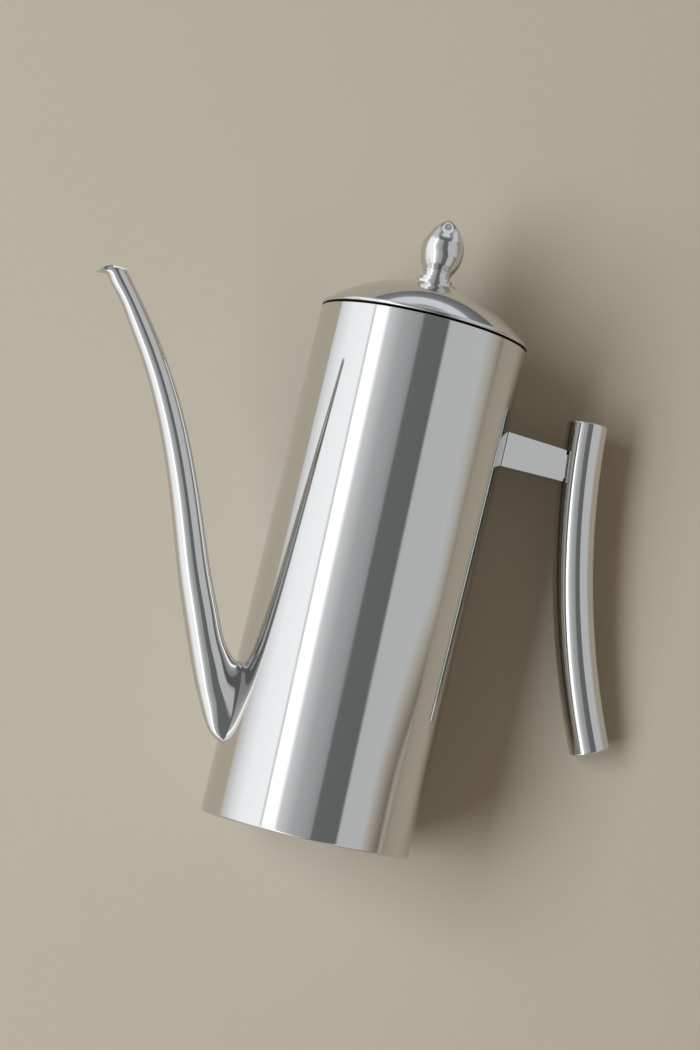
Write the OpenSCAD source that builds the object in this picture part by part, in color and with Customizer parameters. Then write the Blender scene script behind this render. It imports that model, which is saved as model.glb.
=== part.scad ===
// Gooseneck kettle with a tall cylindrical body, a lift-off domed lid and a bowed tube grip.
// Frame: millimetres, +Z up, the base rests on z = 0, the body's axis is the Z axis,
// the spout points to -X and the grip stands on the +X side.

/* [Body] */
// outside diameter of the body
body_d = 90; // [70:1:120]
// height of the body's rim above the table
body_h = 220.5; // [160:0.5:280]
// sheet thickness of the body
body_wall = 0.7; // [0.5:0.1:1.2]
// extra thickness of the folded rim
rim_hem = 0.9; // [0.5:0.1:1.5]
// height of the folded rim
rim_h = 4; // [2:0.5:8]
// radius of the rounded corner under the body
base_corner_r = 1.2; // [1:0.1:4]
// height of the weld between shell and base pan
base_seam_z = 5; // [4:0.5:12]
// depth of the base pan's collar inside the shell
base_collar_h = 6; // [3:0.5:12]

/* [Spout] */
// distance from the body's wall to the tip of the pouring lip
spout_reach = 99.4; // [70:0.2:130]
// distance from the body's rim down to the pouring mouth
spout_drop = 10.9; // [4:0.1:60]
// height of the middle of the spout's root
spout_root_z = 47; // [35:0.5:80]
// height of the spout's root
spout_root_h = 34.8; // [26:0.2:50]
// width of the spout's root
spout_root_w = 13; // [11:0.5:30]
// outside diameter of the spout just above its root
spout_low_d = 14.8; // [11:0.1:20]
// outside diameter of the spout below its mouth
spout_tip_d = 8.3; // [7.5:0.1:13]
// sheet thickness of the spout
spout_wall = 0.6; // [0.4:0.1:1]
// width of the pouring port in the body's wall
port_w = 8; // [4:0.5:10]
// height of the pouring port
port_h = 24; // [12:0.5:28]

/* [Handle] */
// outside diameter of the grip tube
grip_d = 18; // [12:0.5:24]
// wall thickness of the grip tube
grip_wall = 1; // [0.6:0.1:2]
// distance from the body's rim down to the grip's upper end
grip_top_drop = 19.2; // [5:0.1:50]
// height of the grip's lower end
grip_bottom_z = 62.6; // [30:0.1:100]
// distance from the body's wall to the axis of the grip's upper end
grip_top_gap = 39.2; // [28:0.1:50]
// distance from the body's wall to the axis of the grip's lower end
grip_bottom_gap = 74.9; // [50:0.1:95]
// how far the grip bows towards the body
grip_bow = 7.5; // [2:0.1:15]
// thickness of the grip's end caps
cap_t = 1.2; // [0.8:0.1:3]
// depth of the end caps' plugs inside the tube
cap_plug_h = 3; // [2:0.5:8]
// distance from the body's rim down to the middle of the stub
stub_drop = 40.1; // [25:0.1:80]
// height of the stub at the body
stub_h = 15.4; // [10:0.2:24]
// how much less high the stub is at the grip
stub_taper = 1.5; // [0:0.1:4]
// thickness of the stub from side to side
stub_t = 9; // [6:0.5:14]
// sheet thickness of the stub
stub_wall = 1.2; // [0.8:0.1:2]

/* [Lid] */
// how far the lid's edge stands out past the body
lid_overhang = 0.2; // [0:0.1:2]
// thickness of the lid's rolled edge
lid_bead_d = 2.8; // [1.6:0.1:4]
// height of the dome above the rolled edge
lid_rise = 17.6; // [10:0.2:30]
// sheet thickness of the dome
lid_wall = 0.8; // [0.5:0.1:1.2]
// depth of the skirt below the body's rim
skirt_depth = 12; // [8:0.5:25]
// sheet thickness of the skirt
skirt_wall = 0.6; // [0.5:0.1:1]
// gap between the skirt and the folded rim
skirt_gap = 0.5; // [0.3:0.1:1.5]
// diameter of the steam vent
vent_d = 2.2; // [1.5:0.1:4]
// distance of the steam vent from the axis
vent_radius = 19.5; // [12:0.1:35]

/* [Knob] */
// largest diameter of the bud
bud_d = 18.4; // [12:0.2:26]
// height of the bud
bud_h = 23.8; // [16:0.1:34]
// diameter of the neck under the bud
neck_d = 11.8; // [9:0.1:16]
// height of the neck
neck_h = 2.5; // [1.5:0.1:5]
// diameter of the knob's collar
collar_d = 14.4; // [12:0.2:20]
// height of the knob's collar
collar_h = 2; // [1:0.1:4]
// diameter of the foot ring
foot_d = 18; // [15:0.2:26]
// height of the foot ring over the top of the dome
foot_h = 0.8; // [0.6:0.1:3]
// diameter of the knob's screw
screw_d = 4; // [3:0.5:5]
// depth of the screw inside the knob
screw_depth = 12; // [8:0.5:20]

/* [Hidden] */
$fn = 96;
fine = 720;               // segments of the dome's circle where a small piece follows it
fit = 0.05;               // gap left between two pieces that are welded or pressed together
seat = 0.1;               // gap between the lid and the rim it rests on
eps = 0.01;

body_r = body_d / 2;
inner_r = body_r - body_wall;

// spout: how a section's place is stated
spout_rise = body_h - spout_drop - spout_root_z;
low_r = spout_low_d / 2;
tip_r = spout_tip_d / 2;
mouth_tilt = 41.5;        // lean of the spout below its mouth, from vertical
lip_out = 1.92;           // pouring lip's reach, in tip radii
lip_drop = 1.28;          // how far the lip droops, in tip radii
half_steps = 20;          // steps around half of a section
span_steps = 3;           // steps between two stated sections

// grip arc
grip_r = grip_d / 2;
grip_bore_r = grip_r - grip_wall;
grip_top = [body_r + grip_top_gap, body_h - grip_top_drop];
grip_bottom = [body_r + grip_bottom_gap, grip_bottom_z];
grip_chord = norm(grip_bottom - grip_top);
grip_arc_r = (pow(grip_chord / 2, 2) + pow(grip_bow, 2)) / (2 * grip_bow);
grip_along = (grip_bottom - grip_top) / grip_chord;
grip_centre = (grip_top + grip_bottom) / 2 + (grip_arc_r - grip_bow) * [-grip_along[1], grip_along[0]];
grip_top_a = atan2(grip_top[1] - grip_centre[1], grip_top[0] - grip_centre[0]) + 360;
grip_bottom_a = atan2(grip_bottom[1] - grip_centre[1], grip_bottom[0] - grip_centre[0]) + 360;
cap_a = (cap_t + fit) / grip_arc_r * 180 / PI;
stub_z = body_h - stub_drop;

// lid
lid_r = body_r + lid_overhang;
bead_r = lid_bead_d / 2;
bead_z = body_h + seat + bead_r;
dome_base_z = bead_z + bead_r * 0.8;
dome_edge_r = lid_r - bead_r * 0.4;
dome_r = (pow(dome_edge_r, 2) + pow(lid_rise, 2)) / (2 * lid_rise);
dome_z = dome_base_z + lid_rise - dome_r;
dome_top_z = dome_z + dome_r;
dome_under_z = dome_top_z - lid_wall;
skirt_r = inner_r - rim_hem - skirt_gap;
vent_a = 200;              // the vent's direction from +X, towards the spout

// knob stack
foot_top_z = dome_top_z + foot_h;
collar_top_z = foot_top_z + collar_h;
neck_top_z = collar_top_z + neck_h;
gasket_r = 7.5;
gasket_t = 0.8;
washer_t = 0.8;
lock_t = 1;
head_h = 2.2;
washer_top_z = dome_under_z - gasket_t;
lock_top_z = washer_top_z - washer_t - fit;
head_top_z = lock_top_z - lock_t - fit;
screw_r = screw_d / 2;

steel = [0.78, 0.79, 0.80];
rubber = [0.25, 0.25, 0.26];

// ---- shared shapes ----

// Ring between two radii and two heights.
module ring(outer, inner, low, high) {
    translate([0, 0, low])
    difference() {
        cylinder(r = outer, h = high - low);
        translate([0, 0, -1])
        cylinder(r = inner, h = high - low + 2);
    }
}

// Slope of a curve through unevenly spaced points, at point i.
function slope(p, i) =
    let (last = len(p) - 1, a = max(i - 1, 0), b = min(i + 1, last))
    let (ha = norm(p[i] - p[a]), hb = norm(p[b] - p[i]))
    i == 0 ? (p[b] - p[i]) / hb :
    i == last ? (p[i] - p[a]) / ha :
    ((p[i] - p[a]) / ha * hb + (p[b] - p[i]) / hb * ha) / (ha + hb);

// Point at fraction t of the way from point i to point i + 1.
function between(p, i, t) =
    let (h = norm(p[i + 1] - p[i]), m0 = slope(p, i) * h, m1 = slope(p, i + 1) * h)
    p[i] * (2 * pow(t, 3) - 3 * pow(t, 2) + 1) + m0 * (pow(t, 3) - 2 * pow(t, 2) + t)
    + p[i + 1] * (3 * pow(t, 2) - 2 * pow(t, 3)) + m1 * (pow(t, 3) - pow(t, 2));

// Smooth curve through points, with a number of steps in each span.
function smooth(p, steps) = concat(
    [for (i = [0:len(p) - 2], s = [0:steps - 1]) between(p, i, s / steps)],
    [p[len(p) - 1]]);

// ---- body ----

module body_shell() {
    color(steel)
    difference() {
        rotate_extrude() {
            translate([inner_r, base_seam_z + eps])
            square([body_wall, body_h - base_seam_z - eps - (body_wall + rim_hem) / 2]);
            translate([inner_r - rim_hem, body_h - rim_h])
            square([body_wall + rim_hem, rim_h - (body_wall + rim_hem) / 2]);
            translate([body_r - (body_wall + rim_hem) / 2, body_h - (body_wall + rim_hem) / 2])
            circle(d = body_wall + rim_hem);
        }
        for (end = [-1, 1])
            translate([0, 0, spout_root_z + end * (port_h - port_w) / 2])
            rotate([0, -90, 0])
            cylinder(d = port_w, h = body_d);
        translate([-body_d, -port_w / 2, spout_root_z - (port_h - port_w) / 2])
        cube([body_d, port_w, port_h - port_w]);
    }
}

module base_pan() {
    collar_r = inner_r - fit;
    color(steel)
    difference() {
        union() {
            rotate_extrude() {
                square([body_r - base_corner_r, base_seam_z]);
                translate([0, base_corner_r])
                square([body_r, base_seam_z - base_corner_r]);
                translate([body_r - base_corner_r, base_corner_r])
                circle(r = base_corner_r);
            }
            cylinder(r = collar_r, h = base_seam_z + base_collar_h);
        }
        rotate_extrude() {
            inside = base_corner_r - body_wall;
            translate([0, body_wall])
            square([collar_r - body_wall - inside, base_seam_z + base_collar_h]);
            translate([0, base_corner_r])
            square([collar_r - body_wall, base_seam_z + base_collar_h]);
            translate([collar_r - body_wall - inside, base_corner_r])
            circle(r = inside);
        }
    }
}

// ---- spout ----

// A tilted oval section: centre, tilt of its long direction from +X, and two half widths.
// Angle a runs from the outer side (0) past the near side (90) to the side facing the body (180).
function oval(centre, tilt, half, half_y, a) = [
    centre[0] - half * cos(a) * cos(tilt),
    -half_y * sin(a),
    centre[1] - half * cos(a) * sin(tilt)];

// Place of a section from shares of the spout's reach and rise.
function place(reach, rise) = [-body_r - reach * spout_reach, spout_root_z + rise * spout_rise];

// The root section lies on the body's wall.
function root_point(a, inset) =
    let (y = -(spout_root_w / 2 - inset) * sin(a))
    [-sqrt(pow(body_r + fit, 2) - y * y), y, spout_root_z - (spout_root_h / 2 - inset) * cos(a)];

// The mouth is cut level. Share says how far along it the section is, and flare how far its
// outer side is drawn out into the pouring lip.
function mouth_point(a, inset, share, flare) =
    let (front = max(cos(a), 0), r = tip_r - inset)
    let (side = r * (cos(a) + (lip_out - 1) * pow(front, 3) * flare))
    let (rim = r * (cos(a) + (lip_out - 1) * pow(front, 3)))
    let (level = (mouth_rise + rim * sin(mouth_tilt)) / cos(mouth_tilt))
    let (along = share * (level - lip_drop * tip_r * pow(front, 3)))
    [mouth_centre[0] - along * sin(mouth_tilt) - side * cos(mouth_tilt),
    -r * (1 + 0.06 * flare) * sin(a),
    mouth_centre[1] + along * cos(mouth_tilt) - side * sin(mouth_tilt)];

mouth_rise = 0.0387 * spout_rise;
mouth_centre = place(0.8734, 0.9613);

// All stated sections at one angle, from the root to the mouth.
function spout_sections(a, inset) =
    let (sag = inset * 1.25)
    let (r = function (share) low_r + (tip_r - low_r) * share - inset)
    [root_point(a, sag),
    oval(place(0.032, 0.0075), 83, spout_root_h * 0.463 - sag, spout_root_w * 0.515 - inset, a),
    oval(place(0.075, 0.0363), 73, spout_root_h * 0.369 - sag, spout_root_w * 0.54 - inset, a),
    oval(place(0.1156, 0.0747), 60, spout_root_h * 0.29 - sag, low_r - inset, a),
    oval(place(0.1593, 0.1235), 44, low_r * 1.1 - inset, low_r - inset, a),
    oval(place(0.2161, 0.1998), 26, r(0), r(0), a),
    oval(place(0.2764, 0.2827), 21.8, r(0.12), r(0.12), a),
    oval(place(0.369, 0.4265), 21.8, r(0.3), r(0.3), a),
    oval(place(0.4658, 0.5691), 25.2, r(0.466), r(0.466), a),
    oval(place(0.58, 0.7087), 30.9, r(0.63), r(0.63), a),
    oval(place(0.7075, 0.8322), 36.5, r(0.8), r(0.8), a),
    oval(place(0.774, 0.887), 38.9, r(0.885), r(0.885), a),
    mouth_point(a, inset, 0, 0),
    mouth_point(a, inset, 0.45, 0),
    mouth_point(a, inset, 0.78, 0.12),
    mouth_point(a, inset, 1, 1)];

module spout_half() {
    outer = [for (j = [0:half_steps]) smooth(spout_sections(180 * j / half_steps, 0), span_steps)];
    inner = [for (j = [0:half_steps]) smooth(spout_sections(180 * j / half_steps, spout_wall), span_steps)];
    last = len(outer[0]) - 1;
    rows = last + 1;
    block = rows * (half_steps + 1);
    points = concat([for (line = outer) each line], [for (line = inner) each line]);
    function at(side, j, i) = side * block + j * rows + i;
    outside = [for (j = [0:half_steps - 1], i = [0:last - 1])
        each [[at(0, j, i), at(0, j, i + 1), at(0, j + 1, i + 1)],
        [at(0, j, i), at(0, j + 1, i + 1), at(0, j + 1, i)]]];
    inside = [for (j = [0:half_steps - 1], i = [0:last - 1])
        each [[at(1, j, i), at(1, j + 1, i + 1), at(1, j, i + 1)],
        [at(1, j, i), at(1, j + 1, i), at(1, j + 1, i + 1)]]];
    root_end = [for (j = [0:half_steps - 1])
        each [[at(0, j, 0), at(1, j + 1, 0), at(1, j, 0)],
        [at(0, j, 0), at(0, j + 1, 0), at(1, j + 1, 0)]]];
    mouth_end = [for (j = [0:half_steps - 1])
        each [[at(0, j, last), at(1, j, last), at(1, j + 1, last)],
        [at(0, j, last), at(1, j + 1, last), at(0, j + 1, last)]]];
    seam_out = [for (i = [0:last - 1])
        each [[at(0, 0, i), at(1, 0, i + 1), at(0, 0, i + 1)],
        [at(0, 0, i), at(1, 0, i), at(1, 0, i + 1)]]];
    seam_in = [for (i = [0:last - 1])
        each [[at(0, half_steps, i), at(0, half_steps, i + 1), at(1, half_steps, i + 1)],
        [at(0, half_steps, i), at(1, half_steps, i + 1), at(1, half_steps, i)]]];
    polyhedron(points, concat(mouth_end, outside, inside, root_end, seam_out, seam_in));
}

module spout_half_near() {
    color(steel)
    spout_half();
}

module spout_half_far() {
    color(steel)
    mirror([0, 1, 0])
    spout_half();
}

// ---- handle ----

// Where the grip's axis is at a height.
function grip_x(z) = grip_centre[0] - sqrt(pow(grip_arc_r, 2) - pow(z - grip_centre[1], 2));

// Bent round bar on the grip's arc between two angles.
module grip_bar(radius, from_a, to_a) {
    translate([grip_centre[0], 0, grip_centre[1]])
    rotate([90, 0, 0])
    rotate([0, 0, from_a])
    rotate_extrude(angle = to_a - from_a)
    translate([grip_arc_r, 0])
    circle(r = radius);
}

module handle_tube() {
    color(steel)
    difference() {
        grip_bar(grip_r, grip_top_a + cap_a, grip_bottom_a - cap_a);
        grip_bar(grip_bore_r, grip_top_a - 1, grip_bottom_a + 1);
    }
}

// Domed-edge disc with a plug, its outer face at z = 0 and the plug below.
module grip_cap() {
    edge = cap_t * 0.7;
    rotate_extrude() {
        translate([0, -cap_t])
        square([grip_r - edge, cap_t]);
        translate([0, -cap_t])
        square([grip_r, cap_t - edge]);
        intersection() {
            translate([grip_r - edge, -edge])
            circle(r = edge);
            translate([0, -edge])
            square([grip_r + 1, edge]);
        }
        translate([0, -cap_t - cap_plug_h])
        square([grip_bore_r - 2 * fit, cap_plug_h + eps]);
    }
}

// The arc's direction at an angle, as a rotation about Y of the Z axis.
module on_grip(end, a, flip) {
    translate([end[0], 0, end[1]])
    rotate([0, 180 - a + flip, 0])
    children();
}

module handle_cap_top() {
    color(steel)
    on_grip(grip_top, grip_top_a, 0)
    grip_cap();
}

module handle_cap_bottom() {
    color(steel)
    on_grip(grip_bottom, grip_bottom_a, 180)
    grip_cap();
}

// Side outline of the stub, thinner by an inset all round.
module stub_outline(inset) {
    far = grip_x(stub_z);
    low = stub_z - stub_h / 2;
    high = low + stub_h;
    polygon([[0, low + inset], [body_r, low + inset], [far, low + stub_taper / 2 + inset],
        [far, high - stub_taper / 2 - inset], [body_r, high - inset], [0, high - inset]]);
}

module handle_stub() {
    color(steel)
    difference() {
        rotate([90, 0, 0])
        linear_extrude(height = stub_t, center = true)
        stub_outline(0);
        rotate([90, 0, 0])
        linear_extrude(height = stub_t - 2 * stub_wall, center = true)
        stub_outline(stub_wall);
        translate([0, 0, stub_z - stub_h])
        cylinder(r = body_r + fit, h = 2 * stub_h);
        grip_bar(grip_r + fit, grip_top_a - 1, grip_bottom_a);
    }
}

// ---- lid ----

// Ring that reaches up from a height to the underside of the dome.
module turned_under(outer, inner, low) {
    rotate_extrude()
    intersection() {
        translate([inner, low])
        square([outer - inner, dome_top_z - low]);
        translate([0, dome_z])
        circle(r = dome_r - lid_wall - fit, $fn = fine);
    }
}

module lid_dome() {
    color(steel)
    difference() {
        union() {
            rotate_extrude()
            intersection() {
                translate([0, dome_z])
                difference() {
                    circle(r = dome_r);
                    circle(r = dome_r - lid_wall);
                }
                translate([0, dome_base_z])
                square([dome_edge_r, lid_rise + 1]);
            }
            rotate_extrude()
            difference() {
                translate([lid_r - bead_r, bead_z])
                circle(r = bead_r);
                translate([0, bead_z - bead_r])
                square([skirt_r + fit, lid_bead_d]);
            }
        }
        translate([0, 0, dome_z])
        cylinder(r = screw_r + 0.2, h = 2 * dome_r);
        rotate([0, 0, vent_a])
        translate([vent_radius, 0, dome_z])
        cylinder(d = vent_d, h = 2 * dome_r);
    }
}

module lid_skirt() {
    color(steel)
    turned_under(skirt_r, skirt_r - skirt_wall, body_h - skirt_depth);
}

// ---- knob ----

// Outline of the bud, as shares of its radius and its height.
bud_outline = [[0.7, 0.02], [0.85, 0.12], [0.945, 0.22], [0.99, 0.32], [1, 0.42], [0.98, 0.51], [0.92, 0.59],
    [0.825, 0.665], [0.71, 0.75], [0.57, 0.83], [0.42, 0.895], [0.27, 0.945], [0.12, 0.98], [0, 1]];

module knob() {
    bud = smooth([for (p = bud_outline) [p[0] * bud_d / 2, neck_top_z + p[1] * bud_h]], 3);
    color(steel)
    difference() {
        rotate_extrude() {
            translate([0, foot_top_z + eps])
            square([collar_d / 2, collar_h - eps]);
            translate([0, foot_top_z + eps])
            square([neck_d / 2, collar_h + neck_h + 1]);
            polygon(concat([[0, neck_top_z]], [[bud_outline[0][0] * bud_d / 2 - 0.6, neck_top_z]], bud));
        }
        translate([0, 0, foot_top_z - 1])
        cylinder(r = screw_r, h = screw_depth + 1);
    }
}

module knob_foot() {
    color(steel)
    rotate_extrude()
    difference() {
        translate([screw_r + 0.2, dome_top_z - 3])
        square([foot_d / 2 - screw_r - 0.2, foot_h + 3]);
        translate([0, dome_z])
        circle(r = dome_r + fit, $fn = fine);
    }
}

module knob_gasket() {
    color(rubber)
    turned_under(gasket_r, screw_r + 0.1, washer_top_z + eps);
}

module knob_washer() {
    color(steel)
    ring(6, screw_r + 0.2, washer_top_z - washer_t, washer_top_z);
}

module knob_lock_washer() {
    color(steel)
    difference() {
        ring(3.6, screw_r + 0.2, lock_top_z - lock_t, lock_top_z);
        translate([3, 0, lock_top_z])
        cube([3, 0.6, 3], center = true);
    }
}

module knob_screw() {
    color(steel)
    difference() {
        union() {
            translate([0, 0, head_top_z - head_h])
            cylinder(r = screw_r + 1.7, h = head_h);
            translate([0, 0, head_top_z - eps])
            cylinder(r = screw_r - fit, h = foot_top_z + screw_depth - 1 - head_top_z);
        }
        translate([0, 0, head_top_z - head_h])
        cube([2 * screw_d, 0.9, 2], center = true);
    }
}

body_shell();
base_pan();
spout_half_near();
spout_half_far();
handle_stub();
handle_tube();
handle_cap_top();
handle_cap_bottom();
lid_dome();
lid_skirt();
knob();
knob_foot();
knob_gasket();
knob_washer();
knob_lock_washer();
knob_screw();
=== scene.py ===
"""Looks of a polished steel gooseneck kettle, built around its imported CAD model.

The row frame is in metres: +Z runs up the body's axis from the base, the spout points to -X and the
grip stands on the +X side. A pale board lies behind the kettle, at +Y, and the view is from -Y.
"""

import logging
import math
from dataclasses import dataclass, field
from enum import Enum
from typing import Callable, Sequence

import bmesh
import bpy
import numpy as np
from mathutils import Matrix, Vector
from mathutils.bvhtree import BVHTree


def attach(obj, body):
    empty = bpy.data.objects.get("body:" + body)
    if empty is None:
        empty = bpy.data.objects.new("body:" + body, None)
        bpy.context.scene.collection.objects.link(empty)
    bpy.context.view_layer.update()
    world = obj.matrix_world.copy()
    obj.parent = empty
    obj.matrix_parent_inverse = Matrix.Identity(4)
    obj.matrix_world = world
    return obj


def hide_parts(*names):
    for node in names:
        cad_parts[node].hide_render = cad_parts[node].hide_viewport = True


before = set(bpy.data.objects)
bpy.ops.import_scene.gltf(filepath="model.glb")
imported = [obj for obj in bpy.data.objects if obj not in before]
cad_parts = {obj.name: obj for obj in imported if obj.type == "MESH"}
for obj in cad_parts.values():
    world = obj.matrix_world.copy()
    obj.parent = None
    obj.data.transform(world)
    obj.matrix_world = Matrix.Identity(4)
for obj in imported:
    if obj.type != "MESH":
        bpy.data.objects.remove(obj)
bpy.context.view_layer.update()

MM = 0.001
WELDS = 1e7  # steps per metre of the grid on which corners fall together
FIT = 0.05  # gap between pieces that are welded or pressed together, in millimetres
ROUND_STEPS = 6  # faces along a small rounded edge
log = logging.getLogger("kettle")

Corner = tuple[Vector, Vector]
Flat = tuple[float, float]
Colour = tuple[float, float, float]


class Body(Enum):
    """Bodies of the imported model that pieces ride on."""

    KETTLE = "kettle"
    LID = "lid"


class Step(Enum):
    """Places where the stub's section changes, from the body to the grip."""

    BODY = 0
    BOX_START = 1
    BOX_END = 2
    GRIP = 3


class Slot(Enum):
    """Material slots of the record; no piece in this script takes them."""

    POLISHED = "polished_steel"


def full_turn(count: int) -> list[float]:
    """Gives evenly spaced angles round a full turn, in radians, from 0 to the last before a turn."""
    return [2 * math.pi * k / count for k in range(count)]


def add_object(name: str, data: bpy.types.ID) -> bpy.types.Object:
    """Adds an object to the scene.

    Args:
        name: name of the object.
        data: its mesh, camera or light.

    Returns:
        The object.
    """
    item = bpy.data.objects.new(name, data)
    bpy.context.scene.collection.objects.link(item)
    return item


# ---- meshes ----


@dataclass
class Surface:
    """Faces whose corners carry their own normals, with coinciding corners welded.

    Attributes:
        points: places of the corners, in metres.
        faces: indices of each face's corners, counter-clockwise from outside.
        normals: one normal for each corner of each face.
        known: index of the corner at each place of the weld grid.
    """

    points: list[Vector] = field(default_factory=list)
    faces: list[list[int]] = field(default_factory=list)
    normals: list[Vector] = field(default_factory=list)
    known: dict[tuple[int, int, int], int] = field(default_factory=dict)

    def corner(self, point: Vector) -> int:
        """Finds or makes the shared corner at a point.

        Args:
            point: place of the corner, in metres.

        Returns:
            The corner's index.
        """
        key = tuple(round(value * WELDS) for value in point)
        if key not in self.known:
            self.known[key] = len(self.points)
            self.points.append(point)
        return self.known[key]

    def add_face(self, corners: Sequence[Corner]) -> None:
        """Adds a face wound to agree with its normals, and leaves out corners that fall together.

        Args:
            corners: point and normal of each corner, in order round the face.
        """
        indices = [self.corner(point) for point, _ in corners]
        kept = [k for k in range(len(indices)) if indices[k] != indices[k - 1]]
        if len(kept) < 3:
            return
        start = corners[kept[0]][0]
        arms = [corners[k][0] - start for k in kept[1:]]
        way = sum((a.cross(b) for a, b in zip(arms, arms[1:])), Vector())
        if way.dot(sum((corners[k][1] for k in kept), Vector())) < 0:
            kept.reverse()
        self.faces.append([indices[k] for k in kept])
        self.normals.extend(corners[k][1] for k in kept)

    def add_grid(self, grid: Sequence[Sequence[Corner]]) -> None:
        """Adds the faces between the rows of a grid.

        Args:
            grid: rows of corners.
        """
        for low, high in zip(grid, grid[1:]):
            for k in range(len(low) - 1):
                self.add_face([low[k], low[k + 1], high[k + 1], high[k]])

    def add_band(self, rows: Sequence[Sequence[Corner]], way: Vector) -> None:
        """Adds the flat faces between rows of corners, all with one normal.

        Args:
            rows: rows of corners, whose own normals are left out.
            way: the normal.
        """
        self.add_grid([[(point, way) for point, _ in row] for row in rows])

    def moved(self, matrix: Matrix) -> "Surface":
        """Gives a copy placed by a rigid matrix.

        Args:
            matrix: rotation and place of the copy.

        Returns:
            The copy.
        """
        turn = matrix.to_3x3()
        copy = Surface(faces=[list(face) for face in self.faces])
        copy.points = [matrix @ point for point in self.points]
        copy.normals = [turn @ normal for normal in self.normals]
        return copy

    def mesh(self, name: str) -> bpy.types.Mesh:
        """Makes a Blender mesh with these faces and normals.

        Args:
            name: name of the mesh.

        Returns:
            The mesh.
        """
        mesh = bpy.data.meshes.new(name)
        mesh.from_pydata([tuple(point) for point in self.points], [], self.faces)
        mesh.polygons.foreach_set("use_smooth", [True] * len(self.faces))
        mesh.normals_split_custom_set([tuple(normal) for normal in self.normals])
        mesh.update()
        return mesh


@dataclass
class Spline:
    """Cubic curve with continuous curvature through points at unevenly spaced stations.

    Attributes:
        stations: where each point stands along the curve.
        values: the points, as an array whose first axis follows the stations.
    """

    stations: np.ndarray
    values: np.ndarray

    def __post_init__(self) -> None:
        """Solves the second derivatives at the stations."""
        x, y = self.stations, self.values
        count = len(x)
        h = np.diff(x)
        system = np.eye(count)
        right = np.zeros_like(y, dtype=float)
        for i in range(1, count - 1):
            system[i, i - 1 : i + 2] = (h[i - 1], 2 * (h[i - 1] + h[i]), h[i])
            right[i] = 6 * ((y[i + 1] - y[i]) / h[i] - (y[i] - y[i - 1]) / h[i - 1])
        flat = right.reshape(count, -1)
        self.bends = np.linalg.solve(system, flat).reshape(y.shape)

    def at(self, station: float) -> tuple[np.ndarray, np.ndarray]:
        """Evaluates the curve.

        Args:
            station: where along the curve.

        Returns:
            The point and the direction there.
        """
        x, y, m = self.stations, self.values, self.bends
        i = min(max(int(np.searchsorted(x, station)) - 1, 0), len(x) - 2)
        h = x[i + 1] - x[i]
        a, b = (x[i + 1] - station) / h, (station - x[i]) / h
        point = a * y[i] + b * y[i + 1] + ((a**3 - a) * m[i] + (b**3 - b) * m[i + 1]) * h * h / 6
        slope = (y[i + 1] - y[i]) / h
        slope = slope + ((1 - 3 * a * a) * m[i] + (3 * b * b - 1) * m[i + 1]) * h / 6
        return point, slope


@dataclass
class Outline:
    """Half outline of a turned piece, in millimetres, with the solid on the left of its path.

    Attributes:
        stretches: smooth stretches of (place, normal), each a pair of radius and height.
    """

    stretches: list[list[tuple[Flat, Flat]]] = field(default_factory=list)

    def line(self, *places: Flat) -> "Outline":
        """Adds straight stretches through places.

        Args:
            *places: radius and height of each end.

        Returns:
            This outline.
        """
        for (r0, z0), (r1, z1) in zip(places, places[1:]):
            length = math.hypot(r1 - r0, z1 - z0)
            normal = ((z1 - z0) / length, (r0 - r1) / length)
            self.stretches.append([((r0, z0), normal), ((r1, z1), normal)])
        return self

    def arc(self, centre: Flat, radius: float, start: float, end: float, steps: int = 12) -> "Outline":
        """Adds a round stretch.

        Args:
            centre: radius and height of the arc's centre.
            radius: radius of the arc.
            start: angle of its start in degrees, from outwards and counter-clockwise.
            end: angle of its end in degrees.
            steps: number of faces along it.

        Returns:
            This outline.
        """
        side = 1 if end > start else -1
        stretch = []
        for k in range(steps + 1):
            angle = math.radians(start + (end - start) * k / steps)
            way = (math.cos(angle), math.sin(angle))
            place = (centre[0] + radius * way[0], centre[1] + radius * way[1])
            stretch.append((place, (side * way[0], side * way[1])))
        self.stretches.append(stretch)
        return self

    def curve(self, places: Sequence[Flat], steps: int = 60) -> "Outline":
        """Adds a free smooth stretch through places.

        Args:
            places: radius and height of each point that the curve passes.
            steps: number of faces along it.

        Returns:
            This outline.
        """
        values = np.array(places, float)
        gaps = np.linalg.norm(np.diff(values, axis=0), axis=1)
        stations = np.concatenate([[0.0], np.cumsum(gaps)])
        spline = Spline(stations, values)
        stretch = []
        for k in range(steps + 1):
            point, way = spline.at(stations[-1] * k / steps)
            length = math.hypot(*way)
            place = (max(float(point[0]), 0.0), float(point[1]))
            stretch.append((place, (way[1] / length, -way[0] / length)))
        self.stretches.append(stretch)
        return self

    def turned(self, segments: int = 256) -> Surface:
        """Turns the outline round the Z axis.

        Args:
            segments: number of faces round the piece.

        Returns:
            The turned surface.
        """
        surface = Surface()
        ways = [(math.cos(turn), math.sin(turn)) for turn in full_turn(segments) + [0.0]]
        for stretch in self.stretches:
            grid = []
            for (r, z), (nr, nz) in stretch:
                row = []
                for c, s in ways:
                    row.append((Vector((r * c, r * s, z)) * MM, Vector((nr * c, nr * s, nz))))
                grid.append(row)
            surface.add_grid(grid)
        return surface


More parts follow.
